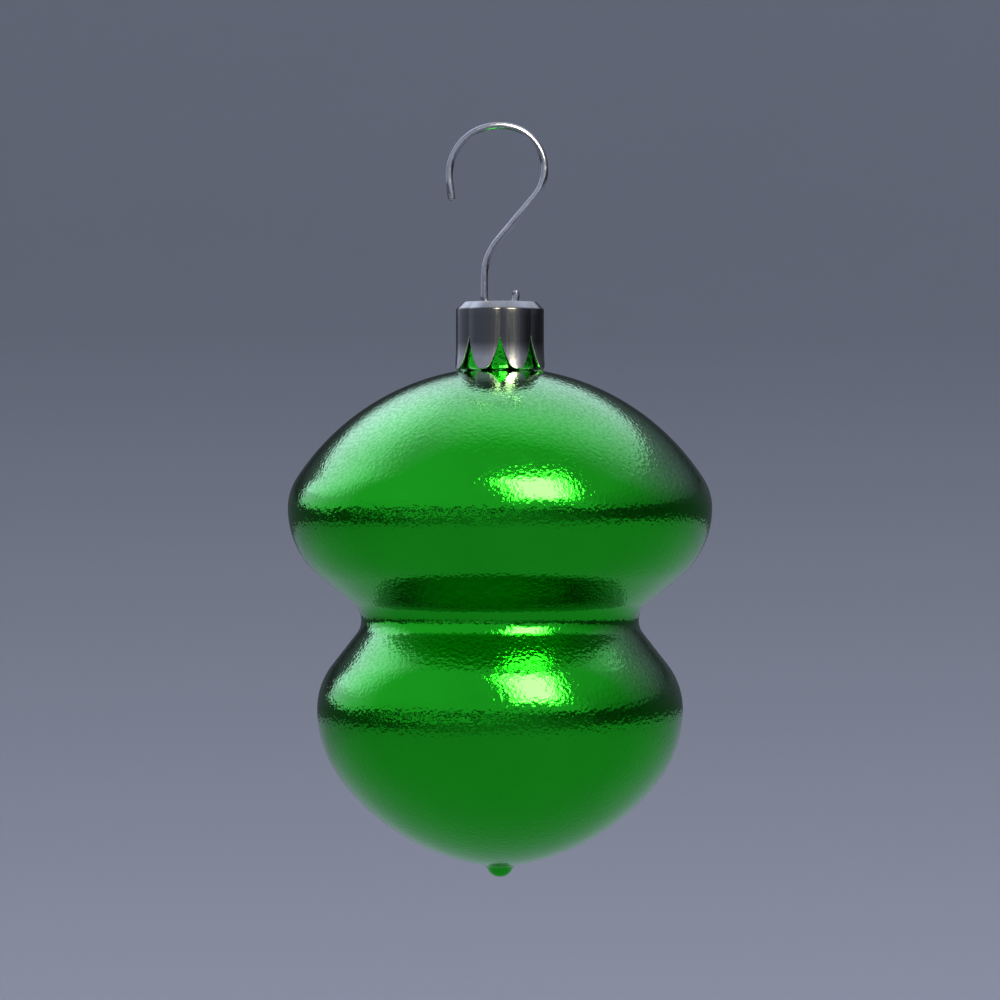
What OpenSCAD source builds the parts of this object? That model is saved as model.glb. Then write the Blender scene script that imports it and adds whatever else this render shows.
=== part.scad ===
// Gourd ornament for hanging: a blown glass double bulb, a fluted crown cap that grips
// its neck, and a bent wire hook whose eye is threaded through two holes in the cap.
// Millimetres. The origin is the point inside the bend of the hook where the ornament
// hangs, Z is up, and the hook lies in the XZ plane.

/* [Glass] */
// Widest diameter of the upper bulb
upper_d = 60; // [57:0.5:62]
// Widest diameter of the lower bulb
lower_d = 51.7; // [49:0.1:54]
// Height from the widest line of the lower bulb to that of the upper bulb
bulb_pitch = 28.4; // [27:0.1:31]
// Radius of the dome on top of the upper bulb
dome_r = 34.2; // [33:0.1:38]
// Radius of the upper bulb's rim, above its widest line
rim_r = 7.8; // [6:0.1:10]
// Radius below the upper bulb's widest line
under_r = 12.8; // [10:0.1:15]
// Slope of the cone under the upper bulb, from the vertical
under_slope = 51.3; // [47:0.1:55]
// Radius of the hollow curve at the waist
waist_r = 3; // [2:0.05:4]
// Slope of the cone on top of the lower bulb, from the vertical
over_slope = 38; // [35:0.5:41]
// Radius above the lower bulb's widest line
shoulder_r = 10.2; // [8:0.1:12]
// Radius below the lower bulb's widest line
belly_r = 16.9; // [14:0.1:19]
// Angle that the belly turns through before the flatter point begins
belly_turn = 38; // [32:0.5:44]
// Radius of the flatter curve that runs down to the pip
point_r = 31.5; // [29:0.1:34]
// Radius of the sealed pip at the bottom
pip_r = 1.9; // [1.4:0.05:2.4]
// Thickness of the blown glass
wall = 0.8; // [0.5:0.05:1.2]

/* [Cap] */
// Radius of the cap over the crests of its flutes
cap_r = 6.4; // [6:0.1:7]
// Height of the cap from its top to the tips of the petals
cap_h = 9.55; // [8.5:0.05:11]
// Number of flutes, each with a petal at its lower end
petals = 8; // [8:1:10]
// Radius across each flute
flute_r = 4; // [3.4:0.1:5]
// Thickness of the sheet metal
sheet = 0.3; // [0.2:0.05:0.4]
// Height and width of the bevel round the top
bevel = 1.08; // [0.8:0.02:1.3]
// How far the petal tips turn outwards
flare = 0.26; // [0.1:0.02:0.3]
// Height of the part of each petal that turns outwards
flare_h = 3.4; // [2.5:0.1:3.5]
// Height of the pointed gaps between the petals
gap_h = 4.7; // [3.5:0.1:5.5]
// Slope of each side of a gap at its point, from the vertical
gap_slope = 10.4; // [8:0.2:13]
// Radius at the tip of each petal
tip_r = 1.25; // [0.9:0.05:1.4]
// Diameter of the two holes that the hook's eye passes through
eye_hole_d = 2.6; // [2.5:0.05:2.8]
// Metal left between the two holes
bridge_w = 2.2; // [2:0.05:2.3]

/* [Hook] */
// Diameter of the wire
wire_d = 1.05; // [0.9:0.05:1.1]
// Height from the hanging point down to the top of the cap
hook_drop = 24.4; // [23.5:0.1:28]
// Radius of the bend on the free side of the hook
free_bend_r = 7; // [6.5:0.05:8]
// Angle of the bend on the free side, past the top of the hook
free_bend_turn = 97; // [80:1:110]
// Straight length at the free end
free_end = 2.8; // [1:0.1:4]
// Radius of the bend on the stem side of the hook
stem_bend_r = 6.1; // [6:0.05:7]
// Slope of the stem's slanted run, from the vertical
stem_slope = 40; // [37:1:45]
// Radius of the bend that brings the stem upright
return_bend_r = 8; // [7:0.1:9]
// Radius of the eye at the middle of the wire
eye_r = 2.24; // [2.2:0.02:2.3]
// Angle of the eye, from the stem round to its cut end
eye_turn = 200; // [190:1:205]

/* [Fits] */
// Clearance of the neck inside the eight creases of the cap
neck_fit = 0.04; // [0.02:0.01:0.1]
// Height of the petal tips above the dome
tip_gap = 0.3; // [0.25:0.05:0.6]
// Clearance between the eye and the bridge that hangs on it
hang_fit = 0.15; // [0.1:0.01:0.2]

/* [Hidden] */
$fn = 96;

glass_colour = [0.07, 0.45, 0.1];
cap_colour = [0.42, 0.42, 0.45];
hook_colour = [0.58, 0.59, 0.63];

// Largest distance between a drawn arc and its chords
arc_tolerance = 0.006;
// Length by which a cutter runs past what it cuts
past = 1;

// Cap, from the top down
cap_top = -hook_drop;
plate_under = cap_top - sheet;
cap_bottom = cap_top - cap_h;
flute_offset = cap_r - flute_r;
flute_angle = 360 / petals;
petal_half_w = (cap_r + flare / 2) * sin(flute_angle / 2);
// Each petal turns outwards in one long arc
flare_r = (pow(flare_h, 2) + pow(flare, 2)) / (2 * flare);
flare_c = [flute_r + flare_r, cap_bottom + flare_h];
crease_r = flute_offset * cos(flute_angle / 2)
    + sqrt(pow(flute_r - sheet, 2) - pow(flute_offset * sin(flute_angle / 2), 2));
hole_x = (bridge_w + eye_hole_d) / 2;

// Wire: it draws down a little in its bends, and the straight lengths lap over their ends
bend_d = wire_d - 0.02;
lap = 0.1;
crown_flat = 0.4;

// Eye of the hook: its inside meets the lower edges of the bridge
eye_inside_r = eye_r - wire_d / 2;
eye_z = plate_under + sqrt(pow(eye_inside_r, 2) - pow(bridge_w / 2 + hang_fit, 2));

// Neck and upper bulb
neck_r = crease_r - neck_fit;
// The rim seats in the corner under the bevel
neck_top = cap_top - bevel;
neck_fillet_r = wall;
upper_r = upper_d / 2;
rim_x = upper_r - rim_r;
dome_drop = sqrt(pow(dome_r - rim_r, 2) - pow(rim_x, 2));
dome_z = cap_bottom - tip_gap - sqrt(pow(dome_r, 2) - pow(cap_r + flare, 2));
upper_z = dome_z + dome_drop;
rim_start = atan2(dome_drop, rim_x);
neck_fillet_x = neck_r + neck_fillet_r;
neck_fillet_z = dome_z + sqrt(pow(dome_r + neck_fillet_r, 2) - pow(neck_fillet_x, 2));
dome_start = atan2(neck_fillet_z - dome_z, neck_fillet_x);

// Lower bulb
lower_r = lower_d / 2;
lower_z = upper_z - bulb_pitch;
under_c = [upper_r - under_r, upper_z];
shoulder_c = [lower_r - shoulder_r, lower_z];
waist_c = tangent_centre(under_c, under_r, -under_slope, shoulder_c, shoulder_r, over_slope, waist_r);
belly_c = [lower_r - belly_r, lower_z];
point_c = belly_c + (belly_r - point_r) * ray(-belly_turn);

// Pip, blended into the point of the lower bulb
pip_fillet_r = 0.5;
pip_sink = 0.25 * pip_r;
pip_c = [0, point_c[1] - sqrt(pow(point_r, 2) - pow(point_c[0], 2)) + pip_sink];
pip_fillet_c = circles_meet(point_c, point_r + pip_fillet_r, pip_c, pip_r + pip_fillet_r);

function ray(angle) = [cos(angle), sin(angle)];

function heading(from, to) = atan2(to[1] - from[1], to[0] - from[0]);

// Points along an arc, both ends included.
function arc(centre, r, from, to) =
    let (steps = ceil(abs(to - from) / (2 * acos(1 - arc_tolerance / r))))
    [for (i = [0:steps]) centre + r * ray(from + (to - from) * i / steps)];

// A list of points without those that repeat the one before.
function joined(points) =
    [for (i = [0:len(points) - 1]) if (i == 0 || norm(points[i] - points[i - 1]) > 0.001) points[i]];

// Centre of a hollow arc of radius r that touches two straight cones, each given by the
// arc that it runs on from and by the angle of its outward normal.
function tangent_centre(c1, r1, a1, c2, r2, a2, r) =
    let (d1 = ray(a1) * c1 + r1 + r, d2 = ray(a2) * c2 + r2 + r, turn = sin(a2 - a1))
    [(d1 * sin(a2) - d2 * sin(a1)) / turn, (d2 * cos(a1) - d1 * cos(a2)) / turn];

// The point on the right where two circles cross, one above the other.
function circles_meet(c1, r1, c2, r2) =
    let (
        d = norm(c2 - c1),
        along = (pow(d, 2) + pow(r1, 2) - pow(r2, 2)) / (2 * d),
        across = sqrt(pow(r1, 2) - pow(along, 2)),
        u = (c2 - c1) / d
    )
    c1 + along * u + across * [-u[1], u[0]];

// Half outline of the glass from the neck down to the flatter point, at a depth inside
// its outer surface.
function bulbs(depth) = concat(
    arc([neck_fillet_x, neck_fillet_z], neck_fillet_r + depth, 180, 180 + dome_start),
    arc([0, dome_z], dome_r - depth, dome_start, rim_start),
    arc([rim_x, upper_z], rim_r - depth, rim_start, 0),
    arc(under_c, under_r - depth, 0, -under_slope),
    arc(waist_c, waist_r + depth, 180 - under_slope, 180 + over_slope),
    arc(shoulder_c, shoulder_r - depth, over_slope, 0),
    arc(belly_c, belly_r - depth, 0, -belly_turn)
);

// The outside ends in the pip.
function outside() = concat(
    bulbs(0),
    arc(point_c, point_r, -belly_turn, heading(point_c, pip_fillet_c)),
    arc(pip_fillet_c, pip_fillet_r, heading(pip_fillet_c, point_c) + 360, heading(pip_fillet_c, pip_c) + 360),
    arc(pip_c, pip_r, heading(pip_c, pip_fillet_c), -90)
);

// The inside runs straight down to the axis.
function inside() = concat(
    bulbs(wall),
    arc(point_c, point_r - wall, -belly_turn, -acos(-point_c[0] / (point_r - wall)))
);

function backwards(points) = [for (i = [len(points) - 1:-1:0]) points[i]];

// The rim of the neck is fire-polished to a full round.
function lip() = arc([neck_r - wall / 2, neck_top - wall / 2], wall / 2, 180, 0);

module glass_body() {
    color(glass_colour)
        rotate_extrude()
            polygon(joined(concat(outside(), backwards(inside()), lip())));
}

// One flute as a turned solid, at a depth inside the metal's outer surface.
module flute(depth) {
    // A parallel line moves this far along a 45 degree bevel's edges.
    slip = depth * tan(22.5);
    top = cap_top - depth;
    bottom = cap_bottom - (depth > 0 ? past : 0);
    flare_turn = asin((flare_c[1] - bottom) / (flare_r + depth));
    translate([flute_offset, 0, 0])
        rotate_extrude()
            polygon(concat(
                [[0, top], [flute_r - bevel - slip, top], [flute_r - depth, cap_top - bevel - slip]],
                arc(flare_c, flare_r + depth, 180, 180 + flare_turn),
                [[0, bottom]]
            ));
}

module flutes(depth) {
    for (i = [0:petals - 1])
        rotate((i + 0.5) * flute_angle)
            flute(depth);
}

// Side of a gap: a long arc from the gap's point runs into the round petal tip.
function gap_side() =
    let (
        point = [0, cap_bottom + gap_h],
        tip_c = [petal_half_w, cap_bottom + tip_r],
        to_tip = tip_c - point,
        inward = ray(gap_slope),
        side_r = (to_tip * to_tip - pow(tip_r, 2)) / (2 * (inward * to_tip - tip_r)),
        side_c = point + side_r * inward,
        turn = heading(side_c, tip_c)
    )
    joined(concat(arc(side_c, side_r, 180 + gap_slope, turn + 360), arc(tip_c, tip_r, turn + 360, 270)));

function mirrored(points) = [for (p = points) [-p[0], p[1]]];

// The gap between two petals, cut outwards from the axis along +X.
module petal_gap() {
    side = gap_side();
    below = [[petal_half_w, cap_bottom - past], [-petal_half_w, cap_bottom - past]];
    rotate([90, 0, 90])
        translate([0, 0, crease_r - past])
            linear_extrude(height = cap_r - crease_r + flare + 2 * past)
                polygon(joined(concat(side, below, backwards(mirrored(side)))));
}

module cap() {
    color(cap_colour)
        difference() {
            flutes(0);
            flutes(sheet);
            for (i = [0:petals - 1])
                rotate(i * flute_angle)
                    petal_gap();
            for (side = [-1, 1])
                translate([side * hole_x, 0, plate_under - past])
                    cylinder(d = eye_hole_d, h = sheet + 2 * past);
        }
}

// A straight length of wire along +Z. What follows starts at its end.
module straight(length) {
    translate([0, 0, -lap])
        cylinder(d = wire_d, h = length + 2 * lap);
    translate([0, 0, length])
        children();
}

// A bend that starts along +Z and turns towards +X, or towards -X where the angle is
// negative. What follows starts at its end.
module bend(r, angle) {
    turn = abs(angle);
    rotate(angle < 0 ? 180 : 0) {
        translate([r, 0, 0])
            rotate([90, 0, 0])
                rotate(180 - turn)
                    rotate_extrude(angle = turn)
                        translate([r, 0])
                            circle(d = bend_d);
        translate([r * (1 - cos(turn)), 0, r * sin(turn)])
            rotate([0, turn, 0])
                rotate(angle < 0 ? 180 : 0)
                    children();
    }
}

module hook() {
    // The slanted run brings the eye under the hanging point, and the upright run takes
    // up the rest of the drop.
    stem_bend_turn = 90 + stem_slope;
    across = crown_flat / 2 + stem_bend_r * sin(stem_bend_turn) - return_bend_r * (1 - cos(stem_slope)) + eye_r;
    slant = across / sin(stem_slope);
    fall = stem_bend_r * (1 - cos(stem_bend_turn)) + slant * cos(stem_slope) + return_bend_r * sin(stem_slope);
    upright = wire_d / 2 - eye_z - fall;
    color(hook_colour)
        translate([-crown_flat / 2, 0, wire_d / 2]) {
            rotate([0, -90, 0])
                bend(free_bend_r, -free_bend_turn)
                    straight(free_end);
            rotate([0, 90, 0])
                straight(crown_flat)
                    bend(stem_bend_r, stem_bend_turn)
                        straight(slant)
                            bend(return_bend_r, -stem_slope)
                                straight(upright)
                                    bend(eye_r, -eye_turn);
        }
}

glass_body();
cap();
hook();
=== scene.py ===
"""Gourd ornament: the finish of its blown glass, crown cap and wire hook, in a small studio."""
import math
from typing import NamedTuple

import bpy
from bpy.props import FloatProperty, FloatVectorProperty, IntProperty, PointerProperty
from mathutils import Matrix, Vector


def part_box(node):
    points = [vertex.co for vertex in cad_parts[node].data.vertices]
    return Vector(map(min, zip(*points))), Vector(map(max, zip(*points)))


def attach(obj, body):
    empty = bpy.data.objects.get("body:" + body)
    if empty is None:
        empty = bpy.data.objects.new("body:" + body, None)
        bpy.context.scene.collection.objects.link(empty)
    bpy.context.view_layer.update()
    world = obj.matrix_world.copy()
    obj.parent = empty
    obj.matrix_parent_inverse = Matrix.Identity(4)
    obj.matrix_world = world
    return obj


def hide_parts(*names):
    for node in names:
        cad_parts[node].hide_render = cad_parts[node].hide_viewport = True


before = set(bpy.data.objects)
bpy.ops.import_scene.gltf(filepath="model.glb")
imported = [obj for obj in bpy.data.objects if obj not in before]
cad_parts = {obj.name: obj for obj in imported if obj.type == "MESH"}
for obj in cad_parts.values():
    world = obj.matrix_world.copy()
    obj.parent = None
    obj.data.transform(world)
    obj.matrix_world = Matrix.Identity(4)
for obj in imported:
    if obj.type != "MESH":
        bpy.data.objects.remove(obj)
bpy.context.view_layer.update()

bl_info = {
    "name": "Gourd ornament",
    "version": (1, 0, 0),
    "blender": (4, 5, 0),
    "location": "3D View > Sidebar > Ornament",
    "description": "Models a blown glass gourd ornament with its crown cap and wire hook",
    "category": "Object",
}

GLASS_LOW, GLASS_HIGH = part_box("glass_body")
CAP_LOW, CAP_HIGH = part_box("cap")
HOOK_LOW, HOOK_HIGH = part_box("hook")

# Largest distance between a drawn arc and its chords, and the longest step along a line
ARC_TOLERANCE = 0.000002
LINE_STEP = 0.001
# Points closer than this are one point
SAME_POINT = 0.000002


def length(name, description, default):
    """A size in metres that a user can change."""
    return FloatProperty(name=name, description=description, default=default, min=0, precision=5,
                         subtype="DISTANCE", unit="LENGTH")


def angle(name, description, degrees):
    """An angle that a user can change."""
    return FloatProperty(name=name, description=description, default=math.radians(degrees),
                         subtype="ANGLE", unit="ROTATION")


def strength(name, description, default):
    """A brightness that a user can change."""
    return FloatProperty(name=name, description=description, default=default, min=0)


def colour(name, description, default):
    """A colour that a user can change."""
    return FloatVectorProperty(name=name, description=description, default=default, size=3, min=0, max=1,
                               subtype="COLOR")


class GlassSettings(bpy.types.PropertyGroup):
    """Sizes and finish of the blown glass."""

    upper_d: length("Upper bulb", "Widest diameter of the upper bulb", GLASS_HIGH.x - GLASS_LOW.x)
    lower_d: length("Lower bulb", "Widest diameter of the lower bulb", 0.0517)
    hang: length("Hang", "Depth of the upper bulb's widest line below the hanging point", 0.05351)
    bulb_pitch: length("Bulb pitch", "Height between the widest lines of the two bulbs", 0.0284)
    dome_r: length("Dome radius", "Radius of the dome on top of the upper bulb", 0.0342)
    rim_r: length("Rim radius", "Radius above the upper bulb's widest line", 0.0078)
    under_r: length("Under radius", "Radius below the upper bulb's widest line", 0.0128)
    under_slope: angle("Under slope", "Slope of the cone under the upper bulb, from the vertical", 51.3)
    waist_r: length("Waist radius", "Radius of the hollow curve at the waist", 0.003)
    over_slope: angle("Over slope", "Slope of the cone on top of the lower bulb, from the vertical", 38)
    shoulder_r: length("Shoulder radius", "Radius above the lower bulb's widest line", 0.0102)
    belly_r: length("Belly radius", "Radius below the lower bulb's widest line", 0.0169)
    belly_turn: angle("Belly turn", "Angle that the belly turns through before the flatter point", 38)
    point_r: length("Point radius", "Radius of the flatter curve that runs down to the pip", 0.0315)
    pip_r: length("Pip radius", "Radius of the sealed pip", 0.0019)
    pip_sink: length("Pip sink", "How far the middle of the pip lies above the point of the bulb", 0.000475)
    pip_fillet_r: length("Pip fillet", "Radius of the blend between the pip and the bulb", 0.0015)
    neck_d: length("Neck diameter", "Diameter of the neck inside the cap", 0.01152)
    neck_top: FloatProperty(name="Neck top", description="Height of the neck's rim", default=GLASS_HIGH.z,
                            precision=5, subtype="DISTANCE", unit="LENGTH")
    wall: length("Wall", "Thickness of the blown glass", 0.0008)
    segments: IntProperty(name="Segments", description="Faces round the glass", default=192, min=48)
    lacquer: colour("Lacquer", "Green of the lacquer over the silvering", (0.0145, 0.42, 0.0145))
    lacquer_thick: colour("Thick lacquer", "Green where the lacquer has run a little thicker",
                          (0.0125, 0.39, 0.0125))
    silver: colour("Silvering", "Colour of the silvering inside the glass", (0.62, 0.64, 0.62))
    pebble: length("Pebble size", "Width of the fine pebbles on the glass", 0.00055)
    pebble_depth: length("Pebble depth", "Height of the pebbles", 0.000055)
    # Painted sheen: on faces that look up, the base colour turns paler where they are seen at a slant,
    # standing in for reflected light.
    painted_sheen: colour("Frost", "Colour of the frost on faces that look up, seen at a slant", (0.12, 0.36, 0.13))
    painted_sheen_bright: colour("Bright frost", "Colour of the frost's bright grains", (0.23, 0.5, 0.24))
    painted_sheen_grain: length("Frost grain", "Width of the frost's grains", 0.0004)


class CapSettings(bpy.types.PropertyGroup):
    """Sizes and finish of the crown cap."""

    petals: IntProperty(name="Petals", description="Number of flutes, each with a petal", default=8, min=4)
    flute_r: length("Flute radius", "Radius across each flute", 0.004)
    flute_offset: length("Flute offset", "Distance from the cap's axis to a flute's axis", 0.0024)
    sheet: length("Sheet", "Thickness of the sheet metal", 0.0003)
    bevel: length("Bevel", "Height and width of the bevel round the top", 0.00108)
    corner_r: length("Corner radius", "Radius of the pressed corners of the bevel", 0.0001)
    flare: length("Flare", "How far the petal tips turn outwards", 0.00019)
    flare_h: length("Flare height", "Height of the part of each petal that turns outwards", 0.0034)
    gap_h: length("Gap height", "Height of the pointed gaps between the petals", 0.0047)
    gap_slope: angle("Gap slope", "Slope of each side of a gap at its point, from the vertical", 10.4)
    tip_r: length("Tip radius", "Radius at the tip of each petal", 0.00125)
    hole_d: length("Hole diameter", "Diameter of the two holes for the hook's eye", 0.0026)
    hole_pitch: length("Hole pitch", "Distance between the two holes", 0.0048)
    edge_r: length("Edge radius", "Rounding of the cut edges of the sheet", 0.00015)
    columns: IntProperty(name="Columns", description="Faces across each flute", default=16, min=6)
    metal: colour("Metal", "Colour of the burnished metal on the bevel and the petals", (0.31, 0.31, 0.315))
    tarnish: colour("Tarnish", "Colour of the burnished metal where it is a little dull",
                    (0.25, 0.245, 0.25))
    # Painted shade: the upright wall's metal is darker in colour than the bevel and the petals, standing in
    # for the dark reflections it shows.
    wall: colour("Wall metal", "Colour of the darker metal of the upright wall", (0.072, 0.072, 0.074))
    # The cut edge colour is a painted highlight: a light colour along the sheet's cut edges, standing in
    # for the light they catch.
    cut: colour("Cut edge", "Colour of the bare metal along the cut edges of the sheet", (0.6, 0.6, 0.62))
    # Petal height and petal fade set where the painted shade on the wall begins above the petal tips.
    petal_h: length("Petal height", "Height of the burnished part of each petal", 0.0016)
    petal_fade: length("Petal fade", "Height over which the burnish fades into the wall", 0.0022)


class HookSettings(bpy.types.PropertyGroup):
    """Sizes and finish of the wire hook."""

    wire_d: length("Wire", "Diameter of the wire", HOOK_HIGH.y - HOOK_LOW.y)
    free_end: length("Free end", "Straight length at the free end", 0.0028)
    free_bend_r: length("Free bend radius", "Radius of the bend on the free side", 0.007)
    free_bend_turn: angle("Free bend", "Angle of the bend on the free side", 97)
    crown_flat: length("Crown flat", "Straight length at the top of the hook", 0.0004)
    stem_bend_r: length("Stem bend radius", "Radius of the bend on the stem side", 0.0061)
    stem_slope: angle("Stem slope", "Slope of the stem's slanted run, from the vertical", 40)
    return_bend_r: length("Return bend radius", "Radius of the bend that brings the stem upright", 0.008)
    eye_r: length("Eye radius", "Radius of the eye at the middle of the wire", 0.00224)
    eye_turn: angle("Eye turn", "Angle of the eye, from the stem round to its cut end", 200)
    end_round: length("End rounding", "Rounding at the cut ends of the wire", 0.0004)
    sides: IntProperty(name="Sides", description="Faces round the wire", default=32, min=8)
    wire: colour("Wire metal", "Colour of the bright drawn wire", (0.38, 0.385, 0.4))
    streak: colour("Streak", "Colour of the darker streaks that drawing leaves", (0.2, 0.2, 0.22))


class StageSettings(bpy.types.PropertyGroup):
    """Floor, lights and camera of the studio."""

    floor_drop: length("Floor drop", "Depth of the floor below the hanging point", 0.42)
    cove_r: length("Cove radius", "Radius of the round studio", 2.0)
    cove_bend_r: length("Cove bend", "Radius of the curve from the floor up to the wall", 0.5)
    cove_h: length("Cove height", "Height of the studio's wall", 0.8)
    cove: colour("Floor", "Colour of the floor", (0.54, 0.53, 0.55))
    # The wall's colour is darker than the floor's: painted shade, for light that falls off up the backdrop.
    wall: colour("Wall", "Colour of the wall behind", (0.28, 0.285, 0.3))
    middle_drop: length("Middle", "Depth of the glass's middle below the hanging point", 0.068)
    card_r: length("Card radius", "Distance of the cards from the ornament", 0.9)
    sky_left: strength("Sky, left", "Brightness of the soft light on the left", 0.76)
    sky_right: strength("Sky, right", "Brightness of the soft light on the right", 0.58)
    overhead: strength("Overhead", "Brightness of the glow above, behind the ornament", 0.55)
    rear: strength("Rear", "Brightness of the glow behind on the left", 0.8)
    sky: colour("Sky colour", "Colour of the soft light", (0.72, 0.8, 1.0))
    key: strength("Key", "Power of the key light in watts", 9.0)
    key_core: strength("Key core", "Power of the key light's bright middle in watts", 12.2)
    warm: colour("Warm light", "Colour of the key light", (1.0, 0.9, 0.65))
    lens: FloatProperty(name="Lens", description="Focal length of the camera in millimetres",
                        default=200, min=1)
    view_w: length("View width", "Width of the picture at the ornament", 0.14144)
    view_drop: length("View drop", "Depth of the picture's middle below the hanging point", 0.0524)


# Edit mode helpers

def deselect():
    """Leave edit mode with nothing selected, so that operators act on the next piece alone."""
    if bpy.context.object and bpy.context.object.mode == "EDIT":
        bpy.ops.object.mode_set(mode="OBJECT")
    bpy.ops.object.select_all(action="DESELECT")


def name_piece(name):
    """Name the new object, put its place in its mesh and open it for editing."""
    piece = bpy.context.object
    piece.name = name
    piece.data.name = name
    bpy.ops.object.transform_apply()
    bpy.ops.object.mode_set(mode="EDIT")
    return piece


def select_points(test):
    """Select the points of the open mesh that pass a test of their place."""
    bpy.ops.mesh.select_mode(type="VERT")
    bpy.ops.mesh.select_all(action="DESELECT")
    bpy.ops.object.mode_set(mode="OBJECT")
    for point in bpy.context.object.data.vertices:
        point.select = test(point.co)
    bpy.ops.object.mode_set(mode="EDIT")


def select_faces(test):
    """Select the faces of the open mesh that pass a test."""
    bpy.ops.mesh.select_mode(type="FACE")
    bpy.ops.mesh.select_all(action="DESELECT")
    bpy.ops.object.mode_set(mode="OBJECT")
    for face in bpy.context.object.data.polygons:
        face.select = test(face)
    bpy.ops.object.mode_set(mode="EDIT")


def extrude(move):
    """Extrude what is selected along a move."""
    bpy.ops.mesh.extrude_region_move(TRANSFORM_OT_translate={"value": move})


def weld():
    """Merge points that share a place, and turn every face outwards."""
    bpy.ops.mesh.select_all(action="SELECT")
    bpy.ops.mesh.remove_doubles(threshold=SAME_POINT)
    bpy.ops.mesh.normals_make_consistent(inside=False)


def apply_modifier(kind, **settings):
    """Add a modifier to the active object and apply it."""
    modifier = bpy.context.object.modifiers.new(kind.title(), kind)
    for key, value in settings.items():
        setattr(modifier, key, value)
    bpy.ops.object.modifier_apply(modifier=modifier.name)


def arc_steps(radius, turn):
    """Number of chords that keep an arc within the tolerance."""
    step = 2 * math.acos(1 - min(ARC_TOLERANCE / radius, 1))
    return max(2, math.ceil(abs(turn) / step))


def ray(turn):
    """Unit vector in the XZ plane, at an angle from +X towards +Z."""
    return Vector((math.cos(turn), math.sin(turn)))


def across(point):
    """A point of the XZ plane in space."""
    return point.x, 0, point.y


# Outlines drawn as arcs and lines

class Arc(NamedTuple):
    """An arc of an outline in the XZ plane."""

    centre: Vector
    radius: float
    start: float
    end: float

    def first(self):
        """Point where the arc starts."""
        return self.centre + self.radius * ray(self.start)

    def last(self):
        """Point where the arc ends."""
        return self.centre + self.radius * ray(self.end)

    def back(self):
        """The same arc, drawn the other way."""
        return Arc(self.centre, self.radius, self.end, self.start)


def draw_outline(name, arcs, finish):
    """Draw arcs one after the other as a chain of edges, with straight lines between them."""
    deselect()
    pen = arcs[0].first()
    bpy.ops.mesh.primitive_plane_add(size=LINE_STEP, location=across(pen))
    piece = name_piece(name)
    bpy.ops.mesh.merge(type="CENTER")
    for arc in arcs:
        draw_line(pen, arc.first())
        turn = arc.end - arc.start
        bpy.ops.mesh.spin(steps=arc_steps(arc.radius, turn), angle=turn, center=across(arc.centre),
                          axis=(0, 1, 0))
        pen = arc.last()
    draw_line(pen, finish)
    return piece


def draw_line(start, end):
    """Draw a straight line from the selected point, in short steps."""
    reach = end - start
    steps = math.ceil((reach.length - SAME_POINT) / LINE_STEP)
    for _ in range(steps):
        extrude(across(reach / steps))


# Glass

def heading(start, end):
    """Angle from one point of the XZ plane to another."""
    return math.atan2(end.y - start.y, end.x - start.x)


def tangent_centre(first, first_turn, second, second_turn, radius):
    """Centre of a hollow arc that touches two straight cones, each given by the arc it runs on from."""
    first_reach = ray(first_turn).dot(first.centre) + first.radius + radius
    second_reach = ray(second_turn).dot(second.centre) + second.radius + radius
    turn = math.sin(second_turn - first_turn)
    return Vector((
        (first_reach * math.sin(second_turn) - second_reach * math.sin(first_turn)) / turn,
        (second_reach * math.cos(first_turn) - first_reach * math.cos(second_turn)) / turn,
    ))


def circles_meet(first, first_r, second, second_r):
    """The point on the right where two circles cross, one above the other."""
    gap = (second - first).length
    along = (gap ** 2 + first_r ** 2 - second_r ** 2) / (2 * gap)
    side = math.sqrt(first_r ** 2 - along ** 2)
    unit = (second - first) / gap
    return first + along * unit + side * Vector((-unit.y, unit.x))


def glass_arcs(size):
    """Arcs of the outer wall from the neck down: those that the inner wall shares, then the rest."""
    upper_r = size.upper_d / 2
    lower_r = size.lower_d / 2
    upper_z = -size.hang
    lower_z = upper_z - size.bulb_pitch
    rim_x = upper_r - size.rim_r
    dome_drop = math.sqrt((size.dome_r - size.rim_r) ** 2 - rim_x ** 2)
    dome_c = Vector((0, upper_z - dome_drop))
    rim_start = math.atan2(dome_drop, rim_x)
    fillet_x = size.neck_d / 2 + size.wall
    fillet_c = Vector((fillet_x, dome_c.y + math.sqrt((size.dome_r + size.wall) ** 2 - fillet_x ** 2)))
    dome_start = heading(dome_c, fillet_c)
    dome = Arc(dome_c, size.dome_r, dome_start, rim_start)
    fillet = Arc(fillet_c, size.wall, math.pi, math.pi + dome_start)
    rim = Arc(Vector((rim_x, upper_z)), size.rim_r, rim_start, 0)
    under = Arc(Vector((upper_r - size.under_r, upper_z)), size.under_r, 0, -size.under_slope)
    shoulder = Arc(Vector((lower_r - size.shoulder_r, lower_z)), size.shoulder_r, size.over_slope, 0)
    waist_c = tangent_centre(under, -size.under_slope, shoulder, size.over_slope, size.waist_r)
    waist = Arc(waist_c, size.waist_r, math.pi - size.under_slope, math.pi + size.over_slope)
    belly = Arc(Vector((lower_r - size.belly_r, lower_z)), size.belly_r, 0, -size.belly_turn)
    point_c = belly.centre + (size.belly_r - size.point_r) * ray(-size.belly_turn)
    point_foot = point_c.y - math.sqrt(size.point_r ** 2 - point_c.x ** 2)
    pip_c = Vector((0, point_foot + size.pip_sink))
    blend_r = size.pip_fillet_r
    blend_c = circles_meet(point_c, size.point_r + blend_r, pip_c, size.pip_r + blend_r)
    point = Arc(point_c, size.point_r, -size.belly_turn, heading(point_c, blend_c))
    full = 2 * math.pi
    blend = Arc(blend_c, blend_r, heading(blend_c, point_c) + full, heading(blend_c, pip_c) + full)
    pip = Arc(pip_c, size.pip_r, heading(pip_c, blend_c), -math.pi / 2)
    return [fillet, dome, rim, under, waist, shoulder, belly], [point, blend, pip]


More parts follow.
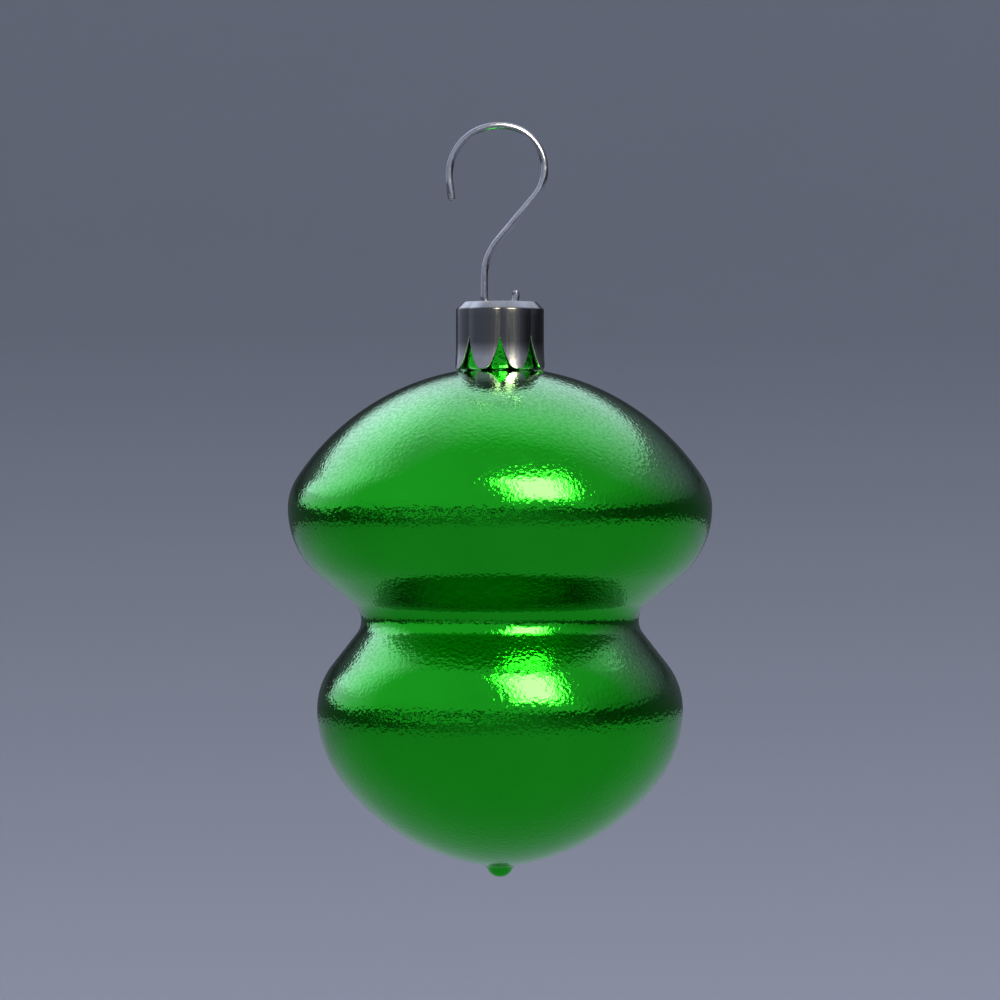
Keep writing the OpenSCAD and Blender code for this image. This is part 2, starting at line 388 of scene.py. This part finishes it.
def inner_arc(arc, wall):
    """The arc of the inner wall behind an arc of the outer wall, where hollow arcs turn the other way."""
    hollow = arc.end > arc.start
    return arc._replace(radius=arc.radius + wall if hollow else arc.radius - wall)


class ORNAMENT_OT_glass(bpy.types.Operator):
    """Draw the half outline of both walls of the glass and spin it into the blown shell"""

    bl_idname = "ornament.glass"
    bl_label = "Glass body"

    def execute(self, context):
        size = context.scene.ornament_glass
        shared, tail = glass_arcs(size)
        lip_r = size.wall / 2
        lip = Arc(Vector((size.neck_d / 2 - lip_r, size.neck_top - lip_r)), lip_r, 0, math.pi)
        point = tail[0]
        inner_r = point.radius - size.wall
        inner_point = Arc(point.centre, inner_r, point.start, -math.acos(-point.centre.x / inner_r))
        outer = [arc.back() for arc in reversed(shared + tail)]
        inner = [inner_arc(arc, size.wall) for arc in shared]
        arcs = outer + [lip] + inner + [inner_point]
        piece = draw_outline("glass_shell", arcs, inner_point.last())
        bpy.ops.mesh.select_all(action="SELECT")
        bpy.ops.mesh.spin(steps=size.segments, angle=2 * math.pi, center=(0, 0, 0), axis=(0, 0, 1))
        weld()
        bpy.ops.object.mode_set(mode="OBJECT")
        bpy.ops.object.shade_smooth()
        piece.data.materials.append(lacquered_glass(size))
        piece.data.materials.append(silvering(size))
        for face in piece.data.polygons:
            face.material_index = 1 if face.normal.xy.dot(face.center.xy) < 0 else 0
        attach(piece, "glass")
        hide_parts("glass_body")
        return {"FINISHED"}


# Cap

class Row(NamedTuple):
    """One row of a flute's flat panel: half its width, how far it stands out, and its height."""

    half_w: float
    out: float
    z: float


def flute_rows(size):
    """Rows of a flute's flat panel from the top of the bevel to the tip of the petal."""
    half_angle = math.pi / size.petals
    top = CAP_HIGH.z
    bottom = CAP_LOW.z
    slip = size.corner_r * math.tan(math.pi / 8)

    def row(out, z, gap=0):
        reach = (size.flute_offset * math.sin(half_angle) - gap) / (size.flute_r + out)
        return Row(size.flute_r * (half_angle + math.asin(reach)), out, z)

    def corner(out, z, start, end):
        steps = 3
        turns = [start + (end - start) * i / steps for i in range(steps + 1)]
        return [row(out + size.corner_r * math.cos(t), z + size.corner_r * math.sin(t)) for t in turns]

    flare_r = (size.flare_h ** 2 + size.flare ** 2) / (2 * size.flare)

    def flare(z):
        drop = max(0, bottom + size.flare_h - z)
        return flare_r - math.sqrt(flare_r ** 2 - drop ** 2)

    upper = corner(-size.bevel - slip, top - size.corner_r, math.pi / 2, math.pi / 4)
    lower = corner(-size.corner_r, top - size.bevel - slip, math.pi / 4, 0)
    wall_steps = 4
    gap_z = bottom + size.gap_h
    wall_top = lower[-1].z
    wall = [row(0, wall_top + (gap_z - wall_top) * i / wall_steps) for i in range(1, wall_steps)]
    petal = [row(flare(z), z, gap) for gap, z in gap_outline(size)]
    return upper + lower + wall + petal


def gap_outline(size):
    """Points down the side of a gap: a long arc from its point runs into the round petal tip."""
    half_angle = math.pi / size.petals
    crest = size.flute_offset + size.flute_r + size.flare / 2
    point = Vector((0, CAP_LOW.z + size.gap_h))
    tip_c = Vector((crest * math.sin(half_angle), CAP_LOW.z + size.tip_r))
    to_tip = tip_c - point
    inward = ray(size.gap_slope)
    side_r = (to_tip.length_squared - size.tip_r ** 2) / (2 * (inward.dot(to_tip) - size.tip_r))
    side_c = point + side_r * inward
    full = 2 * math.pi
    turn = heading(side_c, tip_c) + full
    side = arc_points(Arc(side_c, side_r, math.pi + size.gap_slope, turn), 14)
    tip = arc_points(Arc(tip_c, size.tip_r, turn, 3 * math.pi / 2), 10)
    return side + tip[1:]


def arc_points(arc, steps):
    """Points along an arc, both ends included."""
    turn = arc.end - arc.start
    return [arc.centre + arc.radius * ray(arc.start + turn * i / steps) for i in range(steps + 1)]


class ORNAMENT_OT_cap(bpy.types.Operator):
    """Cut one flute's panel flat, bend it, repeat it into the crown, close the top and thicken it"""

    bl_idname = "ornament.cap"
    bl_label = "Crown cap"

    def execute(self, context):
        size = context.scene.ornament_cap
        piece = self.flute_panel(size)
        self.crown(size)
        self.top_plate()
        apply_modifier("SOLIDIFY", thickness=size.sheet, offset=-1, use_even_offset=True)
        self.eye_holes(piece, size)
        bpy.ops.object.shade_smooth_by_angle(angle=math.radians(22))
        piece.data.materials.append(bright_sheet(size))
        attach(piece, "cap")
        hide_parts("cap")
        return {"FINISHED"}

    def flute_panel(self, size):
        """A flat panel in the XZ plane, extruded row by row, then bent to the flute's radius."""
        rows = flute_rows(size)
        first, second = rows[:2]
        deselect()
        bpy.ops.mesh.primitive_grid_add(x_subdivisions=size.columns, y_subdivisions=1, size=2,
                                        rotation=(math.pi / 2, 0, 0))
        piece = name_piece("crown_cap")
        for side, row in ((1, first), (-1, second)):
            select_points(lambda place: place.z * side > 0.5)
            bpy.ops.transform.resize(value=(row.half_w, 1, 0), center_override=(0, 0, 0))
            bpy.ops.transform.translate(value=(0, -row.out, row.z))
        for last, row in zip(rows[1:], rows[2:]):
            extrude((0, last.out - row.out, row.z - last.z))
            bpy.ops.transform.resize(value=(row.half_w / last.half_w, 1, 1), center_override=(0, 0, 0))
        bpy.ops.object.mode_set(mode="OBJECT")
        widest = max(row.half_w for row in rows)
        apply_modifier("SIMPLE_DEFORM", deform_method="BEND", deform_axis="Z",
                       angle=2 * widest / size.flute_r)
        return piece

    def crown(self, size):
        """Place the flute beside the front crease and repeat it round the axis."""
        turn = 2 * math.pi / size.petals
        bpy.ops.object.mode_set(mode="EDIT")
        bpy.ops.mesh.select_all(action="SELECT")
        bpy.ops.transform.translate(value=(0, -size.flute_offset - size.flute_r, 0))
        bpy.ops.transform.rotate(value=turn / 2, orient_axis="Z", center_override=(0, 0, 0))
        copies = size.petals - 1
        bpy.ops.mesh.spin(steps=copies, dupli=True, angle=copies * turn, center=(0, 0, 0), axis=(0, 0, 1))
        weld()

    def top_plate(self):
        """Close the top with rings that run in to the middle."""
        top = CAP_HIGH.z - SAME_POINT
        select_points(lambda place: place.z > top)
        for scale in (0.7, 0.5, 0.4):
            extrude((0, 0, 0))
            bpy.ops.transform.resize(value=(scale, scale, 1), center_override=(0, 0, 0))
        extrude((0, 0, 0))
        bpy.ops.mesh.merge(type="CENTER")
        weld()
        bpy.ops.object.mode_set(mode="OBJECT")

    def eye_holes(self, piece, size):
        """Pierce the two holes that the hook's eye passes through."""
        for side in (-1, 1):
            deselect()
            bpy.ops.mesh.primitive_cylinder_add(vertices=64, radius=size.hole_d / 2, depth=4 * size.sheet,
                                                location=(side * size.hole_pitch / 2, 0, CAP_HIGH.z))
            punch = bpy.context.object
            bpy.context.view_layer.objects.active = piece
            apply_modifier("BOOLEAN", operation="DIFFERENCE", solver="EXACT", object=punch)
            bpy.data.objects.remove(punch)
        deselect()
        piece.select_set(True)


# Hook

class ORNAMENT_OT_hook(bpy.types.Operator):
    """Run a round wire section along the hook's straights and bends, from its free end to its eye"""

    bl_idname = "ornament.hook"
    bl_label = "Wire hook"

    def execute(self, context):
        size = context.scene.ornament_hook
        wire_r = size.wire_d / 2
        crown = Vector((-size.crown_flat / 2, wire_r))
        self.facing = size.free_bend_turn
        bend_c = crown - Vector((0, size.free_bend_r))
        bend_start = bend_c + size.free_bend_r * ray(self.facing + math.pi / 2)
        self.place = bend_start - size.free_end * ray(self.facing)
        deselect()
        bpy.ops.mesh.primitive_circle_add(vertices=size.sides, radius=wire_r, fill_type="NGON",
                                          location=across(self.place),
                                          rotation=(0, math.pi / 2 - self.facing, 0))
        piece = name_piece("wire_hook")
        self.straight(size.free_end)
        self.bend(size.free_bend_r, -size.free_bend_turn)
        self.straight(size.crown_flat)
        self.bend(size.stem_bend_r, -math.pi / 2 - size.stem_slope)
        return_w = size.return_bend_r * (1 - math.cos(size.stem_slope))
        slant_w = self.place.x - return_w + size.eye_r
        self.straight(slant_w / math.sin(size.stem_slope))
        self.bend(size.return_bend_r, size.stem_slope)
        eye_z = HOOK_LOW.z + size.eye_r + wire_r
        self.straight(self.place.y - eye_z)
        self.bend(size.eye_r, size.eye_turn)
        select_faces(lambda face: len(face.vertices) > 4)
        bpy.ops.mesh.bevel(offset=size.end_round, segments=6)
        weld()
        bpy.ops.object.mode_set(mode="OBJECT")
        bpy.ops.object.shade_smooth_by_angle(angle=math.radians(35))
        piece.data.materials.append(drawn_wire(size))
        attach(piece, "hook")
        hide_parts("hook")
        return {"FINISHED"}

    def straight(self, run):
        """Extrude the end of the wire straight ahead."""
        move = run * ray(self.facing)
        extrude(across(move))
        self.place = self.place + move

    def bend(self, radius, turn):
        """Spin the end of the wire round a bend, to the left where the turn is positive."""
        side = math.copysign(math.pi / 2, turn)
        centre = self.place + radius * ray(self.facing + side)
        bpy.ops.mesh.spin(steps=arc_steps(radius, turn), angle=turn, center=across(centre), axis=(0, 1, 0))
        self.facing += turn
        self.place = centre - radius * ray(self.facing + side)


# Materials

def new_material(name):
    """A material with its shader, its node tree and Object coordinates."""
    material = bpy.data.materials.new(name)
    material.use_nodes = True
    tree = material.node_tree
    place = add_node(tree, "ShaderNodeTexCoord").outputs["Object"]
    return material, tree, tree.nodes["Principled BSDF"], place


def add_node(tree, kind, values=(), **settings):
    """A node with its settings by name and its sockets' values by a dictionary."""
    node = tree.nodes.new(kind)
    for key, value in settings.items():
        setattr(node, key, value)
    for key, value in dict(values).items():
        node.inputs[key].default_value = value
    return node


def noise(tree, place, scale, detail=2.0, stretch=(1, 1, 1)):
    """Noise on Object coordinates, stretched along some axes. Returns its value from 0 to 1."""
    mapping = add_node(tree, "ShaderNodeMapping", {"Scale": stretch})
    tree.links.new(place, mapping.inputs["Vector"])
    texture = add_node(tree, "ShaderNodeTexNoise", {"Scale": scale, "Detail": detail})
    tree.links.new(mapping.outputs["Vector"], texture.inputs["Vector"])
    return texture.outputs["Fac"]


def axis(tree, place, name):
    """One coordinate of a place."""
    node = add_node(tree, "ShaderNodeSeparateXYZ")
    tree.links.new(place, node.inputs["Vector"])
    return node.outputs[name]


def spread(tree, value, low, high, start=0.3, end=0.7):
    """Spread part of a value's range over another range."""
    node = add_node(tree, "ShaderNodeMapRange",
                    {"From Min": start, "From Max": end, "To Min": low, "To Max": high})
    tree.links.new(value, node.inputs["Value"])
    return node.outputs["Result"]


def shades(tree, value, stops):
    """Colours along a value from 0 to 1, each given with its place."""
    node = add_node(tree, "ShaderNodeValToRGB")
    elements = node.color_ramp.elements
    while len(elements) < len(stops):
        elements.new(1)
    for element, (place, tint) in zip(elements, stops):
        element.position = place
        element.color = (*tint, 1)
    tree.links.new(value, node.inputs["Fac"])
    return node.outputs["Color"]


def mix(tree, amount, first, second):
    """A colour between two others, the second of which may be a plain colour."""
    node = add_node(tree, "ShaderNodeMixRGB")
    tree.links.new(amount, node.inputs["Fac"])
    tree.links.new(first, node.inputs["Color1"])
    if isinstance(second, bpy.types.NodeSocket):
        tree.links.new(second, node.inputs["Color2"])
    else:
        node.inputs["Color2"].default_value = (*second, 1)
    return node.outputs["Color"]


def bump(tree, height, distance, under=None):
    """Bump from a height, over another node's normal where one is given. Returns its node."""
    node = add_node(tree, "ShaderNodeBump", {"Strength": 1.0, "Distance": distance})
    tree.links.new(height, node.inputs["Height"])
    if under:
        tree.links.new(under.outputs["Normal"], node.inputs["Normal"])
    return node


def lacquered_glass(size):
    """Green lacquer over silvered glass, finely pebbled, with a painted sheen on its upward faces."""
    material, tree, shader, place = new_material("lacquered_glass")
    shader.inputs["Metallic"].default_value = 1.0
    runs = noise(tree, place, 90, 3, (1, 1, 0.5))
    lacquer = shades(tree, runs, ((0.3, size.lacquer), (0.7, size.lacquer_thick)))
    # Painted sheen: the lacquer's colour turns to a paler, grainy colour on upward faces seen at a slant,
    # in place of reflected light.
    slant_start, slant_full = 0.27, 0.65
    upward_full = 0.35
    slant = add_node(tree, "ShaderNodeLayerWeight", {"Blend": 0.5}).outputs["Facing"]
    grains = noise(tree, place, 1 / size.painted_sheen_grain, 1.5)
    painted_sheen = shades(tree, grains, ((0.38, size.painted_sheen), (0.62, size.painted_sheen_bright)))
    with_painted_sheen = mix(tree, spread(tree, slant, 0, 1, slant_start, slant_full), lacquer, painted_sheen)
    upward = axis(tree, add_node(tree, "ShaderNodeTexCoord").outputs["Normal"], "Z")
    skin = mix(tree, spread(tree, upward, 0, 1, 0, upward_full), lacquer, with_painted_sheen)
    tree.links.new(skin, shader.inputs["Base Color"])
    wipe = noise(tree, place, 400, 2)
    tree.links.new(spread(tree, wipe, 0.07, 0.11), shader.inputs["Roughness"])
    pebbles = bump(tree, noise(tree, place, 1 / size.pebble, 1.5), size.pebble_depth)
    tree.links.new(pebbles.outputs["Normal"], shader.inputs["Normal"])
    return material


def silvering(size):
    """The silvered inside of the glass, a little uneven."""
    material, tree, shader, place = new_material("silvering")
    shader.inputs["Metallic"].default_value = 1.0
    cloud = noise(tree, place, 300, 4)
    dull = tuple(0.7 * part for part in size.silver)
    tree.links.new(shades(tree, cloud, ((0.3, size.silver), (0.7, dull))), shader.inputs["Base Color"])
    tree.links.new(spread(tree, cloud, 0.12, 0.3), shader.inputs["Roughness"])
    tree.links.new(bump(tree, cloud, 0.00003).outputs["Normal"], shader.inputs["Normal"])
    return material


def bright_sheet(size):
    """Stamped sheet with faint draw lines: painted shade darkens the wall between the bevel and the petals,
    and painted highlights lighten the cut edges.
    """
    material, tree, shader, place = new_material("bright_sheet")
    shader.inputs["Metallic"].default_value = 1.0
    patch = noise(tree, place, 500, 3)
    unshaded = shades(tree, patch, ((0.3, size.metal), (0.7, size.tarnish)))
    # Painted shade: the metal darkens above the petals and stays dark up the wall to just over the bevel's
    # foot.
    height = axis(tree, place, "Z")
    painted_shade_start = CAP_LOW.z + size.petal_h
    painted_shade_mask = spread(tree, height, 0, 1, painted_shade_start, painted_shade_start + size.petal_fade)
    with_painted_shade = mix(tree, painted_shade_mask, unshaded, size.wall)
    bevel_foot = CAP_HIGH.z - size.bevel
    # The painted shade reaches a little above the bevel's foot, over its rounded corner.
    dark_line, bright_line = 0.00005, 0.0002
    bevelled = spread(tree, height, 0, 1, bevel_foot + dark_line, bevel_foot + bright_line)
    face = mix(tree, bevelled, with_painted_shade, unshaded)
    # Painted highlight: a light colour along the cut edges of the sheet, found from the Bevel node's
    # normal, standing in for the light those edges catch.
    edges = add_node(tree, "ShaderNodeBevel", {"Radius": size.edge_r}, samples=6)
    flat = add_node(tree, "ShaderNodeVectorMath", operation="DOT_PRODUCT")
    tree.links.new(edges.outputs["Normal"], flat.inputs[0])
    tree.links.new(add_node(tree, "ShaderNodeNewGeometry").outputs["Normal"], flat.inputs[1])
    edge_full, edge_start = 0.75, 0.93
    cut = spread(tree, flat.outputs["Value"], 1, 0, edge_full, edge_start)
    tree.links.new(mix(tree, cut, face, size.cut), shader.inputs["Base Color"])
    lines = noise(tree, place, 6000, 2, (1, 1, 0.04))
    rough = add_node(tree, "ShaderNodeMath", operation="MAXIMUM")
    tree.links.new(spread(tree, lines, 0.16, 0.26), rough.inputs[0])
    tree.links.new(spread(tree, cut, 0, 0.5, 0, 1), rough.inputs[1])
    tree.links.new(rough.outputs["Value"], shader.inputs["Roughness"])
    dents = bump(tree, noise(tree, place, 900, 2), 0.000012, edges)
    draw_lines = bump(tree, lines, 0.0000015, dents)
    tree.links.new(draw_lines.outputs["Normal"], shader.inputs["Normal"])
    return material


def drawn_wire(size):
    """Bright drawn wire, with streaks that run along it because it lies flat in the XZ plane."""
    material, tree, shader, place = new_material("drawn_wire")
    shader.inputs["Metallic"].default_value = 1.0
    streaks = noise(tree, place, 9000, 3, (0.02, 1, 0.02))
    metal = shades(tree, streaks, ((0.3, size.wire), (0.7, size.streak)))
    tree.links.new(metal, shader.inputs["Base Color"])
    tree.links.new(spread(tree, noise(tree, place, 1500, 2), 0.1, 0.22), shader.inputs["Roughness"])
    tree.links.new(bump(tree, streaks, 0.000003).outputs["Normal"], shader.inputs["Normal"])
    return material


def shade_along(tree, place, along, first, second):
    """A shade that runs from one colour to another along a direction, between two distances."""
    direction, start, end = along
    reach = add_node(tree, "ShaderNodeVectorMath", {1: direction}, operation="DOT_PRODUCT")
    tree.links.new(place, reach.inputs[0])
    share = spread(tree, reach.outputs["Value"], 0, 1, start, end)
    return shades(tree, share, ((0, first), (1, second)))


def plain_paint(name, along, first, second):
    """Matt paint, a little uneven, that runs from one shade to another."""
    material, tree, shader, place = new_material(name)
    uneven = bump(tree, noise(tree, place, 6, 2), 0.002)
    tree.links.new(shade_along(tree, place, along, first, second), shader.inputs["Base Color"])
    tree.links.new(uneven.outputs["Normal"], shader.inputs["Normal"])
    shader.inputs["Roughness"].default_value = 0.95
    shader.inputs["Specular IOR Level"].default_value = 0.0
    return material


def lit_card(name, along, first, second):
    """A card with a soft light of its own, which runs from one brightness to another."""
    material, tree, shader, place = new_material(name)
    tree.links.new(shade_along(tree, place, along, first, second), shader.inputs["Emission Color"])
    shader.inputs["Emission Strength"].default_value = 1.0
    shader.inputs["Base Color"].default_value = (0, 0, 0, 1)
    shader.inputs["Specular IOR Level"].default_value = 0.0
    return material


# Stage

class ORNAMENT_OT_stage(bpy.types.Operator):
    """Build the studio: a round pale cove, cards for the reflections, soft lights and the camera"""

    bl_idname = "ornament.stage"
    bl_label = "Studio"

    def execute(self, context):
        size = context.scene.ornament_stage
        self.cove(size)
        self.cards(size)
        self.sky(context.scene, size)
        self.lamps(size)
        self.camera(context.scene, size)
        context.scene.view_settings.view_transform = "Standard"
        return {"FINISHED"}

    def cove(self, size):
        """A round floor that curves up into a wall."""
        deselect()
        flat_r = size.cove_r - size.cove_bend_r
        bpy.ops.mesh.primitive_circle_add(vertices=128, radius=flat_r, fill_type="NGON",
                                          location=(0, 0, -size.floor_drop))
        floor = name_piece("studio_floor")
        select_points(lambda place: place.xy.length > flat_r / 2)
        radius = flat_r
        steps = 12
        for i in range(1, steps + 1):
            turn = math.pi / 2 * i / steps
            before = math.pi / 2 * (i - 1) / steps
            next_r = flat_r + size.cove_bend_r * math.sin(turn)
            rise = size.cove_bend_r * (math.cos(before) - math.cos(turn))
            bpy.ops.mesh.extrude_edges_move(TRANSFORM_OT_translate={"value": (0, 0, rise)})
            grow = next_r / radius
            bpy.ops.transform.resize(value=(grow, grow, 1), center_override=(0, 0, 0))
            radius = next_r
        wall_h = size.cove_h - size.cove_bend_r
        bpy.ops.mesh.extrude_edges_move(TRANSFORM_OT_translate={"value": (0, 0, wall_h)})
        bpy.ops.object.mode_set(mode="OBJECT")
        bpy.ops.object.shade_smooth()
        # Painted shade: the paint darkens from the floor up the wall, standing in for light falling off up
        # the backdrop.
        paint = plain_paint("pale_paint", ((0, 0, 1), -0.28, 0.03), size.cove, size.wall)
        floor.data.materials.append(paint)

    def cards(self, size):
        """Cards seen only in the ornament's reflections, each a band of a cylinder cut by planes."""
        tint = Vector(size.sky) / size.sky[1]
        over_floor = (0.177, (0.023, 0.12, -1))
        under_horizon = (0.019, (-0.09, -0.15, 1))
        over_horizon = (-0.019, (0.09, 0.15, -1))
        fill_side = (0.109, (0.659, 0.752, 0))
        rear_side = (-0.109, (-0.659, -0.752, 0))
        back = (0, 1, 0)
        for name, near, cuts, fade, first, second in (
            ("horizon_card", 1, (over_floor, under_horizon), (back, -1, -0.4), 0.25, 0.07),
            ("fill_card", 1, (over_horizon, (0.25, (0, 0, 1)), fill_side), (back, -0.2, 0.6), 0.68, 1.0),
            ("rear_card", 1, (over_horizon, (0.743, (-0.2, 0.3, 1)), rear_side),
             ((0, -0.6, 0.8), -0.41, 0.7), 0.03, 0.57),
            ("level_card", 0.98, ((0.065, (0, 0, -1)), (0.015, (0, 0, 1)), (0.2, back)),
             (back, -1, 1), 0.05, 0.05),
        ):
            radius = near * size.card_r
            middle = Vector((0, 0, -size.middle_drop))
            deselect()
            bpy.ops.mesh.primitive_cylinder_add(vertices=128, radius=radius, depth=2 * radius,
                                                end_fill_type="NOTHING", location=middle)
            card = name_piece(name)
            for rise, slope in cuts:
                bpy.ops.mesh.select_all(action="SELECT")
                cut_at = middle + rise * radius * Vector(slope)
                bpy.ops.mesh.bisect(plane_co=cut_at, plane_no=slope, clear_outer=True)
            bpy.ops.object.mode_set(mode="OBJECT")
            along = (fade[0], fade[1] * radius, fade[2] * radius)
            card.data.materials.append(lit_card(name, along, first * tint, second * tint))
            card.visible_camera = False
            card.visible_diffuse = False
            card.visible_shadow = False
            card.visible_transmission = False

    def sky(self, scene, size):
        """Soft light from all round, brighter on the left, with glows overhead and behind on the left."""
        world = bpy.data.worlds.new("soft_sky")
        world.use_nodes = True
        scene.world = world
        tree = world.node_tree
        way = add_node(tree, "ShaderNodeTexCoord").outputs["Generated"]
        light = spread(tree, axis(tree, way, "X"), size.sky_left, size.sky_right, -1, 0.5)
        for glow, towards, start, end in (
            (size.overhead, (0.1, 0.565, 0.819), 0.75, 0.93),
            (size.rear, (-0.663, 0.557, 0.5), 0.82, 0.97),
        ):
            near = add_node(tree, "ShaderNodeVectorMath", {1: towards}, operation="DOT_PRODUCT")
            tree.links.new(way, near.inputs[0])
            total = add_node(tree, "ShaderNodeMath", operation="ADD")
            tree.links.new(light, total.inputs[0])
            tree.links.new(spread(tree, near.outputs["Value"], 0, glow, start, end), total.inputs[1])
            light = total.outputs["Value"]
        tree.links.new(light, tree.nodes["Background"].inputs["Strength"])
        green = size.sky[1]
        tree.nodes["Background"].inputs["Color"].default_value = (*(part / green for part in size.sky), 1)

    def lamps(self, size):
        """A warm key light at the front right, with a bright middle."""
        aim = Vector((0, 0, -size.middle_drop))
        side = math.radians(24)
        up = math.radians(39.5)
        way = Vector((math.sin(side) * math.cos(up), -math.cos(side) * math.cos(up), math.sin(up)))
        for name, power, reach, width, tall in (
            ("key_light", size.key, 0.7, 0.41, 0.6),
            ("key_core", size.key_core, 0.69, 0.26, 0.48),
        ):
            deselect()
            bpy.ops.object.light_add(type="AREA", location=aim + reach * way)
            lamp = bpy.context.object
            lamp.name = name
            lamp.rotation_euler = way.to_track_quat("Z", "Y").to_euler()
            lamp.data.shape = "RECTANGLE"
            lamp.data.size = width
            lamp.data.size_y = tall
            lamp.data.energy = power
            lamp.data.color = size.warm
            lamp.visible_camera = False
            lamp.visible_diffuse = False

    def camera(self, scene, size):
        """A level camera with a long lens, square on to the hook."""
        deselect()
        sensor_w = 36
        reach = size.view_w * size.lens / sensor_w
        bpy.ops.object.camera_add(location=(0, -reach, -size.view_drop), rotation=(math.pi / 2, 0, 0))
        camera = bpy.context.object
        camera.name = "studio_camera"
        camera.data.lens = size.lens
        camera.data.sensor_width = sensor_w
        scene.camera = camera


# Panel and registration

class ORNAMENT_PT_panel(bpy.types.Panel):
    """The ornament's pieces and studio"""

    bl_idname = "ORNAMENT_PT_panel"
    bl_label = "Gourd ornament"
    bl_space_type = "VIEW_3D"
    bl_region_type = "UI"
    bl_category = "Ornament"

    def draw(self, context):
        for operator, group in PIECES:
            box = self.layout.box()
            box.operator(operator.bl_idname)
            settings = getattr(context.scene, group)
            for key in settings.__annotations__:
                box.prop(settings, key)


PIECES = (
    (ORNAMENT_OT_glass, "ornament_glass"),
    (ORNAMENT_OT_cap, "ornament_cap"),
    (ORNAMENT_OT_hook, "ornament_hook"),
    (ORNAMENT_OT_stage, "ornament_stage"),
)
SETTINGS = {
    "ornament_glass": GlassSettings,
    "ornament_cap": CapSettings,
    "ornament_hook": HookSettings,
    "ornament_stage": StageSettings,
}


def register():
    """Register the settings, the operators and the panel."""
    for key, group in SETTINGS.items():
        bpy.utils.register_class(group)
        setattr(bpy.types.Scene, key, PointerProperty(type=group))
    for operator, _ in PIECES:
        bpy.utils.register_class(operator)
    bpy.utils.register_class(ORNAMENT_PT_panel)


def unregister():
    """Take away what register added."""
    bpy.utils.unregister_class(ORNAMENT_PT_panel)
    for operator, _ in PIECES:
        bpy.utils.unregister_class(operator)
    for key, group in SETTINGS.items():
        delattr(bpy.types.Scene, key)
        bpy.utils.unregister_class(group)


def main():
    """Make every piece and the studio."""
    register()
    bpy.ops.ornament.glass()
    bpy.ops.ornament.cap()
    bpy.ops.ornament.hook()
    bpy.ops.ornament.stage()


if __name__ == "__main__":
    main()
